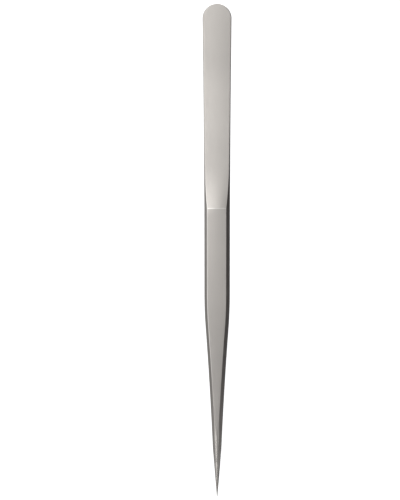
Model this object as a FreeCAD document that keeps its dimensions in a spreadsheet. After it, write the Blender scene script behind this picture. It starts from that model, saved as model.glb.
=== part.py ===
import FreeCAD, Part
import math
import os
import Sketcher

# Long tip tweezers: two equal arms of stainless steel, welded flat on flat at the heel.
# Each arm is a thin spring leaf that swells through a hollow ramp to a crest, then a bevelled
# blade that narrows to a round needle point. The tweezers lie on the flat outer face of the
# lower blade, with +X from the heel to the tips and +Z up. The origin is on that surface,
# half way along. Millimetres and degrees.

# Driving dimensions: name, size, meaning. A station is a distance from the heel along the arm.
SIZES = (
    ("overall_length", 140.0, "heel to tips"),
    ("heel_width", 8.26, "width where the rounded heel meets the sides"),
    ("heel_round_length", 3.9, "station where the rounded heel meets the sides"),
    ("leaf_station", 30.0, "station at which the leaf's width is given"),
    ("leaf_width", 7.68, "width of the spring leaf there"),
    ("crest_station", 58.3, "crest between the hollow ramp and the blade"),
    ("crest_width", 7.28, "width at the crest"),
    ("shoulder_station", 82.6, "end of the blade's even width"),
    ("shoulder_width", 7.22, "width at the shoulder"),
    ("taper_station", 92.5, "end of the shoulder's curve"),
    ("taper_width", 6.47, "width there"),
    ("taper_end_width", 1.26, "width the long taper runs out to past the tips, before the point"),
    ("needle_length", 12.8, "length of the round point"),
    ("needle_width", 2.3, "width at its start"),
    ("point_width", 0.2, "width of each needle's blunt end"),
    ("root_station", 22.0, "where the leaf's line leaves the welded face"),
    ("root_bend_radius", 120.0, "bend there, on the inner face"),
    ("leaf_thickness", 0.95, "thickness of one spring leaf"),
    ("spring_station", 50.0, "where the leaf's line meets the blade's line"),
    ("spring_bend_radius", 150.0, "bend there, on the inner face"),
    ("ramp_station", 46.0, "start of the hollow ramp on the outer face"),
    ("crest_thickness", 2.15, "thickness of one blade at the crest"),
    ("crest_round", 2.0, "radius on the crest's ridge"),
    ("blade_rise", 4.75, "from the welded face to the flat outer face of a blade"),
    ("tip_opening", 7.7, "between the inner faces at the tips, at rest"),
    ("left_bevel", 0.75, "width of the bevel on an arm's left edge, seen from outside, heel up"),
    ("right_bevel", 1.08, "width of the bevel on its right edge"),
    ("edge_land", 0.3, "square edge left between a bevel and the inner face"),
)

# Working allowance: how far the blank and the cuts reach past the finished arm.
MARGIN = 1.5
# A bevel's cut starts above the outer face and ends outside the arm's edge. These say how far,
# as shares of the bevel's own depth.
ABOVE_BEVEL = 0.25
BELOW_BEVEL = 0.5

# The welded face is the arm's own plane of height 0. These give the inner face's height at the
# crest and at the tip, its slope between them, and its height where the leaf's line meets it.
CREST_INNER = "(Sizes.blade_rise - Sizes.crest_thickness)"
TIP_INNER = "Sizes.tip_opening / 2"
INNER_SLOPE = f"(({TIP_INNER} - {CREST_INNER}) / (Sizes.overall_length - Sizes.crest_station))"
SPRING_INNER = f"({CREST_INNER} - {INNER_SLOPE} * (Sizes.crest_station - Sizes.spring_station))"
LEAF_SLOPE = f"({SPRING_INNER} / (Sizes.spring_station - Sizes.root_station))"
RAMP_OUTER = f"(Sizes.leaf_thickness + {LEAF_SLOPE} * (Sizes.ramp_station - Sizes.root_station))"

# A bevel's depth is the blade's thickness less the land. This is that depth carried back to
# station 0, from where it shrinks by the inner face's slope.
HEEL_DEPTH = f"(Sizes.crest_thickness - Sizes.edge_land + {INNER_SLOPE} * Sizes.crest_station)"

# The point's cone is level, with its axis through the end of the inner face. Its radius is half
# the needle's width. The last of these is its radius at the shoulder's taper, where it is wider
# than the arm.
POINT_RADIUS = "Sizes.point_width / 2"
CONE_SLOPE = "((Sizes.needle_width - Sizes.point_width) / 2 / Sizes.needle_length)"
TAPER_RADIUS = f"({POINT_RADIUS} + {CONE_SLOPE} * (Sizes.overall_length - Sizes.taper_station))"

PAST_TIP = f"Sizes.overall_length + {MARGIN}"
PAST_SIDE = f"(Sizes.heel_width / 2 + {MARGIN})"

SAME_POINT = 1e-6


def bearing(start, end):
    """The direction from one point to another, in radians."""
    return math.atan2(end.y - start.y, end.x - start.x)


def make_sheet(doc):
    """The driving dimensions, one row each, with the size in column B under its own name."""
    sheet = doc.addObject("Spreadsheet::Sheet", "Sizes")
    for row, (name, size, meaning) in enumerate(SIZES, start=1):
        sheet.set(f"A{row}", name)
        sheet.set(f"B{row}", str(size))
        sheet.setAlias(f"B{row}", name)
        sheet.set(f"C{row}", meaning)
    doc.recompute()


def add_sketch(body, name, role):
    """A sketch on one of the body's own origin planes."""
    plane = next(feature for feature in body.Origin.OriginFeatures if feature.Role == role)
    sketch = body.newObject("Sketcher::SketchObject", name)
    sketch.AttachmentSupport = [(plane, "")]
    sketch.MapMode = "FlatFace"
    return sketch


class Pen:
    """Draws a loop of lines and arcs in a sketch. A corner is a pair of expressions on the
    sheet, which drive it. Each piece is first drawn in its true place, so that the sketch
    solves to the wanted shape at any size."""

    # The sketcher's numbers for a piece's two ends and centre, and for the two axes. The level
    # axis starts at the origin.
    START, END, MIDDLE = 1, 2, 3
    LEVEL_AXIS, UPRIGHT_AXIS = -1, -2

    def __init__(self, sketch, x, y):
        self.sketch = sketch
        self.first_corner = (x, y)
        self.point = self.value(x, y)
        self.heading = 0.0
        self.first = None
        self.last = None
        self.bend_mark = None

    def value(self, x, y):
        evaluate = self.sketch.evalExpression
        return FreeCAD.Vector(float(evaluate(x)), float(evaluate(y)), 0.0)

    def constrain(self, *terms):
        return self.sketch.addConstraint(Sketcher.Constraint(*terms))

    def drive(self, kind, piece, end, term, now):
        """Holds one end of a piece at an expression's distance from the origin."""
        index = self.constrain(kind, self.LEVEL_AXIS, self.START, piece, end, now)
        self.sketch.setExpression(f"Constraints[{index}]", term)

    def pin(self, piece, end, x, y):
        """Holds one end of a piece at a corner, or in one direction where the other is None."""
        place = self.sketch.getPoint(piece, end)
        if x == "0":
            self.constrain("PointOnObject", piece, end, self.UPRIGHT_AXIS)
        elif x is not None:
            self.drive("DistanceX", piece, end, x, place.x)
        if y == "0":
            self.constrain("PointOnObject", piece, end, self.LEVEL_AXIS)
        elif y is not None:
            self.drive("DistanceY", piece, end, y, place.y)

    def add(self, shape, target, x, y, smooth):
        """Adds a piece that runs from the pen to the target, joined to the piece before it."""
        piece = self.sketch.addGeometry(shape, False)
        near, far = self.START, self.END
        if self.sketch.getPoint(piece, near).distanceToPoint(target) < SAME_POINT:
            near, far = far, near
        if self.last is None:
            self.first = (piece, near)
            self.pin(piece, near, *self.first_corner)
        else:
            self.constrain("Tangent" if smooth else "Coincident", *self.last, piece, near)
        if (x, y) == self.first_corner:
            self.constrain("Coincident", piece, far, *self.first)
        else:
            self.pin(piece, far, x, y)
        self.last = (piece, far)
        self.point = target
        return piece

    def mark(self, x, y):
        """A helper point at a corner."""
        mark = self.sketch.addGeometry(Part.Point(self.value(x, y)), True)
        self.pin(mark, self.START, x, y)
        return mark

    def straight(self, target, x, y):
        """A straight line. After a bend it leaves the bend smoothly, in line with its corner."""
        self.heading = bearing(self.point, target)
        after_bend = self.bend_mark is not None
        piece = self.add(Part.LineSegment(self.point, target), target, x, y, after_bend)
        if after_bend:
            self.constrain("PointOnObject", self.bend_mark, self.START, piece)
            self.bend_mark = None
        return piece

    def line(self, x, y):
        """A straight line to a corner."""
        self.straight(self.value(x, y), x, y)

    def bend(self, x, y, radius, onward):
        """A line towards a corner, and an arc that turns there towards the onward corner."""
        corner = self.value(x, y)
        into = (corner - self.point).normalize()
        out = (self.value(*onward) - corner).normalize()
        size = self.value(radius, "0").x
        half = into.getAngle(out) / 2
        reach = size * math.tan(half)
        before, after = corner - into * reach, corner + out * reach
        middle = corner + (out - into).normalize() * (size / math.cos(half) - size)
        line = self.straight(before, None, None)
        arc = self.add(Part.Arc(before, middle, after), after, None, None, True)
        self.bend_mark = self.mark(x, y)
        self.constrain("PointOnObject", self.bend_mark, self.START, line)
        self.sketch.setExpression(f"Constraints[{self.constrain('Radius', arc, size)}]", radius)

    def arc(self, x, y, through):
        """An arc through another corner, which is drawn as a point of the sketch."""
        start, middle, target = self.point, self.value(*through), self.value(x, y)
        piece = self.add(Part.Arc(start, middle, target), target, x, y, False)
        self.constrain("PointOnObject", self.mark(*through), self.START, piece)
        lead = bearing(start, target) - bearing(start, middle)
        self.heading = bearing(middle, target) + lead

    def curve(self, x, y, smooth=True):
        """An arc that sets out along the pen's heading."""
        target = self.value(x, y)
        chord = target - self.point
        left = FreeCAD.Vector(-chord.y, chord.x, 0.0) / 2
        turn = bearing(self.point, target) - self.heading
        middle = (self.point + target) / 2 - left * math.tan(turn / 2)
        self.heading += 2 * turn
        return self.add(Part.Arc(self.point, middle, target), target, x, y, smooth)

    def close(self):
        """A straight line back to the first corner."""
        self.line(*self.first_corner)


def draw_edge(pen, side, inset):
    """One edge of the arm in plan, from the rounded heel's corner to past the tip."""

    def width(name):
        return f"{side} * (Sizes.{name} / 2 - {inset})"

    pen.arc(
        "Sizes.crest_station",
        width("crest_width"),
        through=("Sizes.leaf_station", width("leaf_width")),
    )
    pen.line("Sizes.shoulder_station", width("shoulder_width"))
    pen.curve("Sizes.taper_station", width("taper_width"))
    pen.curve(PAST_TIP, width("taper_end_width"))
    pen.line(PAST_TIP, f"{side} * {PAST_SIDE}")


def add_blank(body):
    """The strip seen from the side, as one wide pad: the leaf with the bends that spring it
    open, the hollow ramp, the crest and the blade."""
    sketch = add_sketch(body, "side_profile", "XZ_Plane")
    heel = ("0", "0")
    root = ("Sizes.root_station", "0")
    root_outside = ("Sizes.root_station", "Sizes.leaf_thickness")
    spring = ("Sizes.spring_station", SPRING_INNER)
    ramp = ("Sizes.ramp_station", RAMP_OUTER)
    pen = Pen(sketch, *heel)
    pen.line("0", "Sizes.leaf_thickness")
    pen.bend(*root_outside, "Sizes.root_bend_radius - Sizes.leaf_thickness", ramp)
    pen.line(*ramp)
    pen.curve("Sizes.crest_station", "Sizes.blade_rise")
    pen.line("Sizes.overall_length", "Sizes.blade_rise")
    pen.line("Sizes.overall_length", TIP_INNER)
    pen.bend(*spring, "Sizes.spring_bend_radius", root)
    pen.bend(*root, "Sizes.root_bend_radius", heel)
    pen.close()
    pad = body.newObject("PartDesign::Pad", "blank")
    pad.Profile = sketch
    pad.SideType = "Symmetric"
    pad.setExpression("Length", f"2 * {PAST_SIDE}")
    return pad


def round_crest(body, blank):
    """Rounds the crest's ridge, the edge that runs across the blank between ramp and blade."""
    ridge = FreeCAD.Vector(
        float(blank.evalExpression("Sizes.crest_station")),
        0.0,
        float(blank.evalExpression("Sizes.blade_rise")),
    )
    across = [
        f"Edge{number}"
        for number, edge in enumerate(blank.Shape.Edges, start=1)
        if edge.CenterOfMass.distanceToPoint(ridge) < SAME_POINT
    ]
    fillet = body.newObject("PartDesign::Fillet", "crest_rounding")
    fillet.Base = (blank, across)
    fillet.setExpression("Radius", "Sizes.crest_round")


def bevel_section(body, name, side, width, share):
    """The waste beside a bevel at one level of its slope: share 0 is the blade's outer face and
    share 1 the land. The level's plane leans with the inner face, so the bevel is deep where
    the blade is thick."""
    inset = f"{width} * (1 - {share})"
    far = f"{side} * {PAST_SIDE}"
    sketch = add_sketch(body, name, "XY_Plane")
    sketch.AttachmentOffset = FreeCAD.Placement(
        FreeCAD.Vector(), FreeCAD.Rotation(FreeCAD.Vector(0, 1, 0), 1)
    )
    sketch.setExpression("AttachmentOffset.Base.z", f"Sizes.blade_rise - {share} * {HEEL_DEPTH}")
    sketch.setExpression("AttachmentOffset.Rotation.Angle", f"-atan({share} * {INNER_SLOPE})")
    start = ("Sizes.heel_round_length", f"{side} * (Sizes.heel_width / 2 - {inset})")
    pen = Pen(sketch, *start)
    draw_edge(pen, side, inset)
    pen.line("Sizes.heel_round_length", far)
    pen.close()
    return sketch


def grind_bevel(body, name, side):
    """One long bevel. It fades out along the hollow ramp, where the arm grows thin."""
    width = f"Sizes.{name}_bevel"
    loft = body.newObject("PartDesign::SubtractiveLoft", f"{name}_bevel")
    loft.Profile = bevel_section(body, f"{name}_bevel_low", side, width, 1 + BELOW_BEVEL)
    loft.Sections = [bevel_section(body, f"{name}_bevel_high", side, width, -ABOVE_BEVEL)]
    loft.Ruled = True


def trim_side(body, name, side):
    """Cuts one side of the blank to the arm's outline, rounded heel included."""
    sketch = add_sketch(body, f"{name}_outline", "XY_Plane")
    pen = Pen(sketch, "0", "0")
    pen.heading = side * math.pi / 2
    heel = pen.curve("Sizes.heel_round_length", f"{side} * Sizes.heel_width / 2", smooth=False)
    pen.constrain("PointOnObject", heel, pen.MIDDLE, pen.LEVEL_AXIS)
    draw_edge(pen, side, "0")
    pen.line(f"-{MARGIN}", f"{side} * {PAST_SIDE}")
    pen.line(f"-{MARGIN}", "0")
    pen.close()
    pocket = body.newObject("PartDesign::Pocket", f"{name}_trim")
    pocket.Profile = sketch
    pocket.Type = "ThroughAll"
    pocket.SideType = "Symmetric"


def grind_point(body):
    """The round point: all that lies outside a slim cone is turned away."""
    sketch = add_sketch(body, "point_cone", "XZ_Plane")
    wide_end = ("Sizes.taper_station", f"{TIP_INNER} + {TAPER_RADIUS}")
    blunt_end = f"{TIP_INNER} + {POINT_RADIUS}"
    pen = Pen(sketch, *wide_end)
    pen.line("Sizes.overall_length", blunt_end)
    pen.line(PAST_TIP, blunt_end)
    pen.line(PAST_TIP, wide_end[1])
    pen.close()
    ends = (("Sizes.taper_station", TIP_INNER), (PAST_TIP, TIP_INNER))
    axis = sketch.addGeometry(Part.LineSegment(*(pen.value(*end) for end in ends)), True)
    pen.pin(axis, pen.START, *ends[0])
    pen.pin(axis, pen.END, *ends[1])
    groove = body.newObject("PartDesign::Groove", "point")
    groove.Profile = sketch
    groove.ReferenceAxis = (sketch, ["Axis0"])


def make_arm(doc, label, turn):
    """One arm, drawn from its welded face outwards and set in place by half a turn or none."""
    body = doc.addObject("PartDesign::Body", label)
    body.Label = label
    blank = add_blank(body)
    doc.recompute()
    round_crest(body, blank)
    sides = {"left": -1, "right": 1}
    for cut in (grind_bevel, trim_side):
        for name, side in sides.items():
            cut(body, name, side)
    grind_point(body)
    body.Placement = FreeCAD.Placement(
        FreeCAD.Vector(), FreeCAD.Rotation(FreeCAD.Vector(1, 0, 0), turn)
    )
    body.setExpression("Placement.Base.x", "-Sizes.overall_length / 2")
    body.setExpression("Placement.Base.z", "Sizes.blade_rise")
    doc.recompute()
    return body


def check(doc, bodies):
    """Stops if any feature failed, or if an arm is not one sound solid."""
    failed = [item.Name for item in doc.Objects if {"Invalid", "Error"} & set(item.State)]
    if failed:
        raise RuntimeError(f"failed features: {failed}")
    for body in bodies:
        shape = body.Shape
        if shape.isNull() or not shape.isValid() or len(shape.Solids) != 1:
            raise RuntimeError(f"{body.Label} is not one sound solid")


def main():
    doc = FreeCAD.newDocument("long_tip_tweezers")
    make_sheet(doc)
    arms = [make_arm(doc, "upper_arm", 0), make_arm(doc, "lower_arm", 180)]
    check(doc, arms)
    os.makedirs("parts", exist_ok=True)
    for arm in arms:
        arm.Shape.exportStep(f"parts/{arm.Label}.step")
        print(arm.Label, round(arm.Shape.Volume, 2), arm.Shape.BoundBox)


main()
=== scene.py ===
import math

import bmesh
import bpy
import numpy as np
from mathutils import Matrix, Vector


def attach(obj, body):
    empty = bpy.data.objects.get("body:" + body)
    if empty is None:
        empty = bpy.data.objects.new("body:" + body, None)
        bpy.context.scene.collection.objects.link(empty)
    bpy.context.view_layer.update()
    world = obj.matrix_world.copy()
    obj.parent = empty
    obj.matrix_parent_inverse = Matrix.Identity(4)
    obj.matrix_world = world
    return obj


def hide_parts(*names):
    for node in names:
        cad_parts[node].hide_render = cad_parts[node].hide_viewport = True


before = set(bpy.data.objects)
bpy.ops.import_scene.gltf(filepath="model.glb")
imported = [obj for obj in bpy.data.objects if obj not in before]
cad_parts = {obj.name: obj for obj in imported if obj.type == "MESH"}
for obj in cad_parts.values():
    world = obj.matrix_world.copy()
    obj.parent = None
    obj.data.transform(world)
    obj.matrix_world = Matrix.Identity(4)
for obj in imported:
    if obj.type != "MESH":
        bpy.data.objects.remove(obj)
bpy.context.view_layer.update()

# Sizes in millimetres, as in the CAD model. A station is a distance from the heel's end.
LENGTH = 140.0
HEEL_ROUND, HEEL_HALF = 3.9, 4.13
LEAF_STATION, LEAF_HALF = 30.0, 3.84
CREST_STATION, CREST_HALF = 58.3, 3.64
SHOULDER_STATION, SHOULDER_HALF = 82.6, 3.61
TAPER_STATION, TAPER_HALF = 92.5, 3.235
TAPER_END_STATION, TAPER_END_HALF = 141.5, 0.63
NEEDLE_LENGTH, NEEDLE_RADIUS = 12.8, 1.15
POINT_RADIUS = 0.1
ROOT_STATION, ROOT_RADIUS = 22.0, 120.0
SPRING_STATION, SPRING_RADIUS = 50.0, 150.0
RAMP_STATION = 46.0
LEAF_THICKNESS, CREST_THICKNESS = 0.95, 2.15
CREST_ROUND = 2.0
BLADE_RISE = 4.75
TIP_INNER = 3.85
LEFT_BEVEL, RIGHT_BEVEL = 0.75, 1.08
EDGE_LAND = 0.3
MM_PER_M = 1000

CREST_INNER = BLADE_RISE - CREST_THICKNESS
INNER_SLOPE = (TIP_INNER - CREST_INNER) / (LENGTH - CREST_STATION)
SPRING_INNER = CREST_INNER - INNER_SLOPE * (CREST_STATION - SPRING_STATION)
LEAF_SLOPE = SPRING_INNER / (SPRING_STATION - ROOT_STATION)
CONE_SLOPE = (NEEDLE_RADIUS - POINT_RADIUS) / NEEDLE_LENGTH

# Finish of the form: the worn edges' sizes, the largest share of the half width, of the
# thickness and of a face that a worn edge takes, and the least width of the outer face.
EDGE_BREAK = 0.16
INNER_ROUND = 0.1
LAND_ROUND = 0.12
FLAT_ROUND = 0.07
BREAK_OF_HALF, BREAK_OF_THICKNESS, ROUND_OF_FACE = 0.4, 0.3, 0.4
LEAST_FLAT = 0.02
# The bevels' edges soften towards the needle, between these stations.
SOFTENING = (119.0, 127.0)
SOFT_ROUND = 0.6
# The outer face is slightly crowned, most of all at the crest.
CROWN = 0.07
CROWN_STATIONS = (0.0, 6.0, 46.0, 58.0, 60.0, 84.0, 107.0, 128.0)
CROWN_SHARES = (0.3, 0.85, 0.85, 2.8, 1.25, 0.8, 0.5, 0.3)
# How far each corner of a section is burnished, which makes it smoother and adds a painted
# highlight, and how that changes along the blade.
EDGE_BURNISH_AND_HIGHLIGHT = (0.0, 0.0, 0.0, 0.2, 0.6, 0.0)
BURNISH_AND_HIGHLIGHT_STATIONS = (49.0, 58.0, 100.0, 116.0)
BURNISH_AND_HIGHLIGHT_SHARES = (0.0, 1.0, 0.7, 0.0)
# The burnished line across the crest, smoother and with a painted highlight: its station and
# half its width.
CREST_LINE, CREST_LINE_HALF = 58.4, 0.24

# The mesh: the points of a rounded corner and of each face, from the inner face on.
CORNER_POINTS = 5
FACE_POINTS = (9, 4, 8, 15, 8, 4)
OUTER_FACE = 3
OUTER_CORNERS = (3, 4)
# How near to its ends a face's first and last points lie, as a share of its width.
HOLD = 0.04
# The stations on the round heel, where the first one's turn is in radians, and then runs of
# stations as (first, end, step).
HEEL_STATIONS, HEEL_FIRST_TURN = 22, 0.06
STATION_RUNS = (
    (HEEL_ROUND + 0.4, 40.0, 0.8),
    (40.0, 57.6, 0.4),
    (57.7, 58.9, 0.06),
    (59.0, 118.0, 0.7),
    (118.0, LENGTH, 0.25),
)
# Points of a mesh that are closer than this, in metres, are one.
SAME_POINT = 1e-6

# The steel's colours, roughness and grinding marks. The point's darker colour is painted shade,
# and the burnished colour is a painted highlight. The marks' height is in metres.
LIGHT_STEEL = (0.66, 0.628, 0.592)
DARK_STEEL = (0.50, 0.475, 0.45)
# Painted shade: the needle point's darker colour.
POINT_PAINTED_SHADE_STEEL = (0.30, 0.285, 0.27)
# Painted highlight: the lighter colour of the burnished edges and of the line across the crest.
PAINTED_HIGHLIGHT_STEEL = (0.91, 0.89, 0.85)
LEAF_ROUGHNESS, BLADE_ROUGHNESS = 0.34, 0.4
GRAIN_ROUGHNESS = 0.05
BURNISHED_SMOOTHER = -0.08
GRAIN_SCALE, GRAIN_DETAIL, GRAIN_STRETCH = 1000.0, 4.0, (0.25, 4.0, 4.0)
CLOUD_SCALE, CLOUD_DETAIL, CLOUD_STRETCH = 90.0, 2.0, (1.0, 1.0, 1.0)
# Most of a noise lies in this range.
NOISE_RANGE = (0.3, 0.7)
CLOUD_SHADES = (0.37, 0.53)
MARKS_HEIGHT = 0.000004
LEAF_MARKS, BLADE_MARKS = 0.3, 1.0
# What changes along the arm: the first and the last station, and the value at each.
GRINDING_BEGINS = (58.1, 58.5, 0.0, 1.0)
NEEDLE_SMOOTHER = (118.0, 127.0, 0.0, -0.16)
# Painted shade: the blade's colour darkens towards the point.
BLADE_PAINTED_SHADE = (70.0, 100.0, 0.0, 0.6)
# Painted light: the hollow ramp before the crest is lighter in colour.
RAMP_PAINTED_LIGHT = (46.0, 55.0, 0.0, -0.2)
# Painted light: the leaf's colour lightens towards the heel.
HEEL_PAINTED_LIGHT = (0.0, 58.0, -0.12, 0.0)
# Painted shade: the needle point darkens towards its end.
POINT_PAINTED_SHADE = (130.5, 136.5, 0.0, 0.55)
MARKS_FADE = (115.0, 125.0, 0.0, -0.7)

# The stage, in metres.
FLOOR_SIZE, FLOOR_DROP = 4.0, 0.00002
WALL_RADIUS, WALL_HEIGHT, WALL_SUNK, WALL_SIDES = 1.9, 2.0, 0.01, 96
STAGE_GREY, STAGE_GLOW = 0.4, 0.9
# What the steel reflects: the directions over which each part grows in, as heights (SIDE: as
# places from left to right) on a ball of radius 1, and how bright it is. The screen leaves only
# a share of the wall behind it.
WALL_FOOT, WALL_GLOW = (-0.05, 0.25), 0.6
CEILING_EDGE, CEILING_LESS = (0.6, 0.9), -0.2
TABLE_EDGE, TABLE_SIDE, TABLE_GLOW = (-0.6, -0.9), (0.45, 0.0), 0.5
SCREEN_TOP, SCREEN_SIDE, SCREEN_LEAVES = (0.45, 0.22), (0.6, 0.85), 0.05
LEFT_SIDE, RIGHT_GLOW, LEFT_GLOW = (0.0, -1.0), 0.06, 0.33
# The camera, in metres, and the length that the picture's height shows at the tool's top.
CAMERA_X, CAMERA_Y, CAMERA_HEIGHT = 0.000176, -0.004867, 0.9
PICTURE_LENGTH = 0.14183


def circle_through(a, b, c):
    """Centre and radius of the circle through three points."""
    a, b, c = np.array(a), np.array(b), np.array(c)
    half = np.array([b @ b - a @ a, c @ c - a @ a]) / 2
    x, y = np.linalg.solve(np.array([b - a, c - a]), half)
    return x, y, math.hypot(a[0] - x, a[1] - y)


def circle_onward(start, slope, end):
    """Centre and radius of the circle that leaves start along slope and passes through end."""
    normal = np.array([-slope, 1.0]) / math.hypot(1.0, slope)
    chord = np.subtract(end, start)
    reach = chord @ chord / (2 * (chord @ normal))
    x, y = start + normal * reach
    return x, y, abs(reach)


def on_circle(circle, x):
    """The outline's height at x: on the circle's upper half, or on its lower half where the
    centre is above the axis, as in a hollow arc."""
    cx, cy, radius = circle
    rise = math.sqrt(radius * radius - (x - cx) ** 2)
    return cy + rise if cy <= 0 else cy - rise


def slope_on(circle, x):
    """The outline's slope at x on a circle."""
    cx, cy, _ = circle
    return -(x - cx) / (on_circle(circle, x) - cy)


heel_radius = (HEEL_ROUND**2 + HEEL_HALF**2) / (2 * HEEL_ROUND)
heel_arc = (heel_radius, 0.0, heel_radius)
leaf_arc = circle_through(
    (HEEL_ROUND, HEEL_HALF), (LEAF_STATION, LEAF_HALF), (CREST_STATION, CREST_HALF)
)
blade_slope = (SHOULDER_HALF - CREST_HALF) / (SHOULDER_STATION - CREST_STATION)
shoulder_arc = circle_onward(
    (SHOULDER_STATION, SHOULDER_HALF), blade_slope, (TAPER_STATION, TAPER_HALF)
)
taper_arc = circle_onward(
    (TAPER_STATION, TAPER_HALF),
    slope_on(shoulder_arc, TAPER_STATION),
    (TAPER_END_STATION, TAPER_END_HALF),
)


def half_width(s):
    """Half the arm's width in plan at a station."""
    if s < HEEL_ROUND:
        return on_circle(heel_arc, s)
    if s < CREST_STATION:
        return on_circle(leaf_arc, s)
    if s < SHOULDER_STATION:
        return CREST_HALF + blade_slope * (s - CREST_STATION)
    if s < TAPER_STATION:
        return on_circle(shoulder_arc, s)
    return on_circle(taper_arc, s)


def bend(s, station, change, reach):
    """What a rounded corner adds to a line that turns by change at a station."""
    off = abs(s - station)
    return change * (reach - off) ** 2 / (4 * reach) if off < reach else 0.0


def inner_face(s):
    """Height of the arm's inner face above the welded face."""
    root_reach = ROOT_RADIUS * LEAF_SLOPE / 2
    spring_reach = SPRING_RADIUS * (LEAF_SLOPE - INNER_SLOPE) / 2
    if s < ROOT_STATION:
        height = 0.0
    elif s < SPRING_STATION:
        height = LEAF_SLOPE * (s - ROOT_STATION)
    else:
        height = SPRING_INNER + INNER_SLOPE * (s - SPRING_STATION)
    height += bend(s, ROOT_STATION, LEAF_SLOPE, root_reach)
    return height + bend(s, SPRING_STATION, INNER_SLOPE - LEAF_SLOPE, spring_reach)


ramp_run = CREST_STATION - RAMP_STATION
ramp_base = LEAF_THICKNESS + LEAF_SLOPE * (RAMP_STATION - ROOT_STATION)
ramp_curve = (BLADE_RISE - ramp_base - LEAF_SLOPE * ramp_run) / ramp_run**2
crest_slope = LEAF_SLOPE + 2 * ramp_curve * ramp_run


def outer_face(s):
    """Height of the arm's outer face above the welded face."""
    root_reach = (ROOT_RADIUS - LEAF_THICKNESS) * LEAF_SLOPE / 2
    crest_reach = CREST_ROUND * crest_slope / 2
    if s < ROOT_STATION:
        height = LEAF_THICKNESS
    elif s < RAMP_STATION:
        height = LEAF_THICKNESS + LEAF_SLOPE * (s - ROOT_STATION)
    elif s < CREST_STATION:
        run = s - RAMP_STATION
        height = ramp_base + LEAF_SLOPE * run + ramp_curve * run * run
    else:
        height = BLADE_RISE
    height += bend(s, ROOT_STATION, LEAF_SLOPE, root_reach)
    return height + bend(s, CREST_STATION, -crest_slope, crest_reach)


def section_corners(s):
    """The section's corners at a station, as (y, z, rounding) from the inner face's left edge
    round, and the height of its crown."""
    half, outer, inner = half_width(s), outer_face(s), inner_face(s)
    slack = (BLADE_RISE - outer) / (BLADE_RISE - inner - EDGE_LAND)
    brim = min(EDGE_BREAK, BREAK_OF_HALF * half, BREAK_OF_THICKNESS * (outer - inner))
    crown_share = float(np.interp(s, CROWN_STATIONS, CROWN_SHARES))
    crown = CROWN * crown_share * min(half / CREST_HALF, 1.0)
    shoulder = outer - crown
    land = min(inner + EDGE_LAND, shoulder - brim)
    right = min(half - RIGHT_BEVEL * (1 - slack), half - brim)
    left = min(half - LEFT_BEVEL * (1 - slack), half - brim)
    if right < -left:
        right = (right - left + LEAST_FLAT) / 2
        left = LEAST_FLAT - right
    soft = float(np.interp(s, SOFTENING, (0.0, SOFT_ROUND)))
    corners = [
        (-half, inner, INNER_ROUND),
        (half, inner, INNER_ROUND),
        (half, land, LAND_ROUND + soft),
        (right, shoulder, FLAT_ROUND + soft),
        (-left, shoulder, FLAT_ROUND + soft),
        (-half, land, LAND_ROUND + soft),
    ]
    return corners, crown


def rounded(corners):
    """The points of each corner's rounding, from the face before it to the face after it."""
    places = [np.array(corner[:2]) for corner in corners]
    turns = np.linspace(0.0, 1.0, CORNER_POINTS)
    arcs = []
    for i, place in enumerate(places):
        back = places[i - 1] - place
        ahead = places[(i + 1) % len(places)] - place
        long_back, long_ahead = np.linalg.norm(back), np.linalg.norm(ahead)
        reach = min(corners[i][2], ROUND_OF_FACE * long_back, ROUND_OF_FACE * long_ahead)
        start = place + back / long_back * reach
        stop = place + ahead / long_ahead * reach
        arcs.append([start * (1 - t) ** 2 + place * 2 * t * (1 - t) + stop * t * t for t in turns])
    return arcs


def turned(points, s):
    """The points of a section, drawn in to the needle's cone where they stand out of it."""
    if s <= TAPER_STATION:
        return points
    cone = POINT_RADIUS + CONE_SLOPE * (LENGTH - s)
    centre = np.array([0.0, TIP_INNER])
    drawn = []
    for point in points:
        out = np.linalg.norm(point - centre)
        drawn.append(centre + (point - centre) * cone / out if out > cone else point)
    return drawn


def shares(count):
    """Places along a face, with a place held near each end so that the shading stays flat."""
    return [HOLD] + list(np.linspace(0.0, 1.0, count)[1:-1]) + [1.0 - HOLD]


def section(s):
    """The arm's section at a station, as points (y, z, share burnished and given a painted
    highlight) from the inner face's left edge round."""
    corners, crown = section_corners(s)
    arcs = rounded(corners)
    along_blade = float(np.interp(s, BURNISH_AND_HIGHLIGHT_STATIONS, BURNISH_AND_HIGHLIGHT_SHARES))
    crest_line = max(0.0, 1.0 - abs(s - CREST_LINE) / CREST_LINE_HALF)
    points, burnish_and_highlight = [], []
    for i, arc in enumerate(arcs):
        # A burnished edge is smoother and also gets a painted highlight.
        edge = EDGE_BURNISH_AND_HIGHLIGHT[i] * along_blade
        if i in OUTER_CORNERS:
            edge = max(edge, crest_line)
        points += arc
        burnish_and_highlight += [edge] * len(arc)
        start, stop = arc[-1], arcs[(i + 1) % len(arcs)][0]
        for share in shares(FACE_POINTS[i]):
            point = start + (stop - start) * share
            if i == OUTER_FACE:
                point[1] += crown * (1 - (2 * share - 1) ** 2)
            points.append(point)
            burnish_and_highlight.append(crest_line if i == OUTER_FACE else 0.0)
    return np.column_stack([turned(points, s), burnish_and_highlight])


def stations():
    """Stations of the mesh, closer together where the form changes fast."""
    last_turn = math.acos(1 - HEEL_ROUND / heel_radius)
    turn = np.linspace(HEEL_FIRST_TURN, last_turn, HEEL_STATIONS)
    heel = heel_radius * (1 - np.cos(turn))
    runs = [np.arange(*run) for run in STATION_RUNS]
    return np.concatenate([heel, *runs, [LENGTH]])


def along_row(station):
    """A station's place on the row frame's X axis, in metres."""
    return (station - LENGTH / 2) / MM_PER_M


def join_same_points(mesh):
    """Joins the points that fall together where the section shrinks to the needle's tip."""
    shape = bmesh.new()
    shape.from_mesh(mesh)
    bmesh.ops.remove_doubles(shape, verts=shape.verts, dist=SAME_POINT)
    bmesh.ops.dissolve_degenerate(shape, edges=shape.edges, dist=SAME_POINT)
    shape.to_mesh(mesh)
    shape.free()


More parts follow.
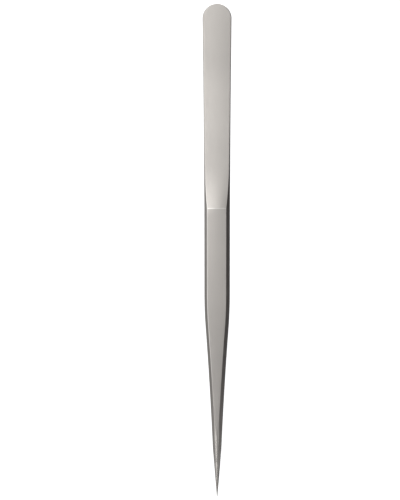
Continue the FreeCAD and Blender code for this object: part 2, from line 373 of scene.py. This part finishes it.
def arm_mesh(name, upside_down):
    """One arm as a mesh in the row frame. The lower one is the upper one turned over."""
    where = stations()
    sections = [section(s) for s in where]
    around = len(sections[0])
    side = -1 if upside_down else 1
    vertices = []
    for s, points in zip(where, sections):
        for y, z, _ in points:
            height = BLADE_RISE + side * z
            vertices.append((along_row(s), side * y / MM_PER_M, height / MM_PER_M))
    faces = []
    for i in range(len(where) - 1):
        this, following = i * around, (i + 1) * around
        for j in range(around):
            k = (j + 1) % around
            faces.append((this + j, this + k, following + k, following + j))
    faces.append(tuple(range(around))[::-1])
    last = (len(where) - 1) * around
    faces.append(tuple(range(last, last + around)))
    mesh = bpy.data.meshes.new(name)
    mesh.from_pydata(vertices, [], faces)
    # Where the steel is burnished: smoother, and lighter in colour as a painted highlight.
    marks = mesh.attributes.new("burnish_and_highlight", "FLOAT", "POINT")
    marks.data.foreach_set("value", np.concatenate(sections)[:, 2])
    join_same_points(mesh)
    # Only the end faces have more than four sides, and they stay flat.
    for polygon in mesh.polygons:
        polygon.use_smooth = len(polygon.vertices) <= 4
    mesh.update()
    piece = bpy.data.objects.new(name, mesh)
    bpy.context.scene.collection.objects.link(piece)
    return piece


def mapped(tree, value, low, high, to_low, to_high):
    """A value's range low to high, stretched to another one and held at its ends."""
    node = tree.nodes.new("ShaderNodeMapRange")
    node.inputs["From Min"].default_value = low
    node.inputs["From Max"].default_value = high
    node.inputs["To Min"].default_value = to_low
    node.inputs["To Max"].default_value = to_high
    tree.links.new(value, node.inputs["Value"])
    return node.outputs["Result"]


def reckoned(tree, operation, *values):
    """The sum or the product of two or more values."""
    result = values[0]
    for value in values[1:]:
        node = tree.nodes.new("ShaderNodeMath")
        node.operation = operation
        tree.links.new(result, node.inputs[0])
        tree.links.new(value, node.inputs[1])
        result = node.outputs[0]
    return result


def noise(tree, place, scale, detail, stretch):
    """Noise at a place, drawn out along the axes where stretch is small."""
    mapping = tree.nodes.new("ShaderNodeMapping")
    mapping.inputs["Scale"].default_value = stretch
    tree.links.new(place, mapping.inputs["Vector"])
    texture = tree.nodes.new("ShaderNodeTexNoise")
    texture.inputs["Scale"].default_value = scale
    texture.inputs["Detail"].default_value = detail
    tree.links.new(mapping.outputs["Vector"], texture.inputs["Vector"])
    return texture.outputs["Fac"]


def blended(tree, share, first, second):
    """Two colours mixed, of which each is a colour or another node's output."""
    node = tree.nodes.new("ShaderNodeMix")
    node.data_type = "RGBA"
    tree.links.new(share, node.inputs[0])
    for socket, colour in ((node.inputs[6], first), (node.inputs[7], second)):
        if isinstance(colour, tuple):
            socket.default_value = (*colour, 1.0)
        else:
            tree.links.new(colour, socket)
    return node.outputs[2]


def changing(tree, along, change):
    """A value that changes along the arm between two stations."""
    first, last, first_value, last_value = change
    return mapped(tree, along, along_row(first), along_row(last), first_value, last_value)


def steel():
    """Satin stainless steel: a smooth leaf, and a blade with fine lengthwise grinding marks."""
    material = bpy.data.materials.new("satin_steel")
    material.use_nodes = True
    tree = material.node_tree
    shader = tree.nodes["Principled BSDF"]
    shader.inputs["Metallic"].default_value = 1.0
    place = tree.nodes.new("ShaderNodeTexCoord").outputs["Object"]
    axes = tree.nodes.new("ShaderNodeSeparateXYZ")
    tree.links.new(place, axes.inputs["Vector"])
    along = axes.outputs["X"]
    grain = noise(tree, place, GRAIN_SCALE, GRAIN_DETAIL, GRAIN_STRETCH)
    cloud = noise(tree, place, CLOUD_SCALE, CLOUD_DETAIL, CLOUD_STRETCH)
    blade = changing(tree, along, GRINDING_BEGINS)
    # How far the steel is burnished: smoother, and lighter in colour as a painted highlight.
    marks = tree.nodes.new("ShaderNodeAttribute")
    marks.attribute_name = "burnish_and_highlight"
    burnish_and_highlight = marks.outputs["Fac"]

    rough = reckoned(
        tree,
        "ADD",
        mapped(tree, blade, 0.0, 1.0, LEAF_ROUGHNESS, BLADE_ROUGHNESS),
        mapped(tree, grain, *NOISE_RANGE, -GRAIN_ROUGHNESS, GRAIN_ROUGHNESS),
        changing(tree, along, NEEDLE_SMOOTHER),
        mapped(tree, burnish_and_highlight, 0.0, 1.0, 0.0, BURNISHED_SMOOTHER),
    )
    tree.links.new(rough, shader.inputs["Roughness"])

    shade = reckoned(
        tree,
        "ADD",
        mapped(tree, cloud, *NOISE_RANGE, *CLOUD_SHADES),
        # Painted shade: darker down the blade.
        changing(tree, along, BLADE_PAINTED_SHADE),
        # Painted light on the ramp.
        changing(tree, along, RAMP_PAINTED_LIGHT),
        # Painted light towards the heel.
        changing(tree, along, HEEL_PAINTED_LIGHT),
    )
    tint = blended(tree, shade, LIGHT_STEEL, DARK_STEEL)
    # Painted shade at the needle point.
    tint = blended(tree, changing(tree, along, POINT_PAINTED_SHADE), tint, POINT_PAINTED_SHADE_STEEL)
    # Painted highlight on the burnished edges and on the line across the crest.
    colour = blended(tree, burnish_and_highlight, tint, PAINTED_HIGHLIGHT_STEEL)
    tree.links.new(colour, shader.inputs["Base Color"])

    bump = tree.nodes.new("ShaderNodeBump")
    bump.inputs["Distance"].default_value = MARKS_HEIGHT
    depth = reckoned(
        tree,
        "ADD",
        mapped(tree, blade, 0.0, 1.0, LEAF_MARKS, BLADE_MARKS),
        changing(tree, along, MARKS_FADE),
    )
    tree.links.new(reckoned(tree, "MULTIPLY", grain, depth), bump.inputs["Height"])
    tree.links.new(bump.outputs["Normal"], shader.inputs["Normal"])
    return material


steel_material = steel()
for name, upside_down in (("upper_arm_looks", False), ("lower_arm_looks", True)):
    arm = arm_mesh(name, upside_down)
    arm.data.materials.append(steel_material)
    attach(arm, "root")
    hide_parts(name.replace("_looks", ""))


def add_stage():
    """A plain pale floor and a pale wall round it, kept out of the steel's reflections."""
    material = bpy.data.materials.new("pale_stage")
    material.use_nodes = True
    shader = material.node_tree.nodes["Principled BSDF"]
    shader.inputs["Base Color"].default_value = (STAGE_GREY, STAGE_GREY, STAGE_GREY, 1.0)
    shader.inputs["Roughness"].default_value = 1.0
    shader.inputs["Emission Color"].default_value = (1.0, 1.0, 1.0, 1.0)
    shader.inputs["Emission Strength"].default_value = STAGE_GLOW
    bpy.ops.mesh.primitive_plane_add(size=FLOOR_SIZE, location=(0.0, 0.0, -FLOOR_DROP))
    floor = bpy.context.object
    floor.name = "floor"
    bpy.ops.mesh.primitive_cylinder_add(
        vertices=WALL_SIDES,
        radius=WALL_RADIUS,
        depth=WALL_HEIGHT,
        end_fill_type="NOTHING",
        location=(0.0, 0.0, WALL_HEIGHT / 2 - WALL_SUNK),
    )
    wall = bpy.context.object
    wall.name = "wall"
    for piece in (floor, wall):
        piece.data.materials.append(material)
        piece.visible_glossy = False


def add_world():
    """Soft studio surroundings: pale walls, a duller ceiling, and a table that is pale straight
    below. A dark screen stands low at the right, and the left is paler all the way down."""
    world = bpy.data.worlds.new("studio")
    bpy.context.scene.world = world
    world.use_nodes = True
    tree = world.node_tree
    place = tree.nodes.new("ShaderNodeTexCoord")
    axes = tree.nodes.new("ShaderNodeSeparateXYZ")
    tree.links.new(place.outputs["Generated"], axes.inputs["Vector"])
    right, up = axes.outputs["Y"], axes.outputs["Z"]
    screen = reckoned(
        tree,
        "MULTIPLY",
        mapped(tree, right, *SCREEN_SIDE, 0.0, 1.0),
        mapped(tree, up, *SCREEN_TOP, 0.0, 1.0),
    )
    walls = reckoned(
        tree,
        "MULTIPLY",
        mapped(tree, up, *WALL_FOOT, 0.0, WALL_GLOW),
        mapped(tree, screen, 0.0, 1.0, 1.0, SCREEN_LEAVES),
    )
    table = reckoned(
        tree,
        "MULTIPLY",
        mapped(tree, up, *TABLE_EDGE, 0.0, TABLE_GLOW),
        mapped(tree, right, *TABLE_SIDE, 0.0, 1.0),
    )
    ceiling = mapped(tree, up, *CEILING_EDGE, 0.0, CEILING_LESS)
    sideways = mapped(tree, right, *LEFT_SIDE, RIGHT_GLOW, LEFT_GLOW)
    background = tree.nodes["Background"]
    strength = reckoned(tree, "ADD", walls, ceiling, table, sideways)
    tree.links.new(strength, background.inputs["Strength"])
    background.inputs["Color"].default_value = (1.0, 1.0, 1.0, 1.0)


def add_light(name, place, target, size, power):
    """A square soft light at a place, turned to a target."""
    data = bpy.data.lights.new(name, "AREA")
    data.shape = "SQUARE"
    data.size = size
    data.energy = power
    light = bpy.data.objects.new(name, data)
    light.location = place
    light.rotation_euler = (Vector(place) - Vector(target)).to_track_quat("Z", "Y").to_euler()
    bpy.context.scene.collection.objects.link(light)


def add_camera():
    """The photograph's view: from straight above, with the heel at the top."""
    data = bpy.data.cameras.new("camera")
    data.sensor_width = 36.0
    tool_top = 2 * BLADE_RISE / MM_PER_M
    data.lens = data.sensor_width * (CAMERA_HEIGHT - tool_top) / PICTURE_LENGTH
    data.clip_end = 10.0
    camera = bpy.data.objects.new("camera", data)
    camera.location = (CAMERA_X, CAMERA_Y, CAMERA_HEIGHT)
    camera.rotation_euler = (0.0, 0.0, math.pi / 2)
    bpy.context.scene.collection.objects.link(camera)
    bpy.context.scene.camera = camera


add_stage()
add_world()
add_light("key", place=(-0.125, -0.155, 0.33), target=(0.0, 0.0, 0.0), size=0.33, power=0.34)
add_light(
    "tip_light", place=(0.125, -0.11, 0.33), target=(0.06, 0.0, 0.0), size=0.09, power=0.052
)
add_camera()
bpy.context.scene.view_settings.view_transform = "Standard"
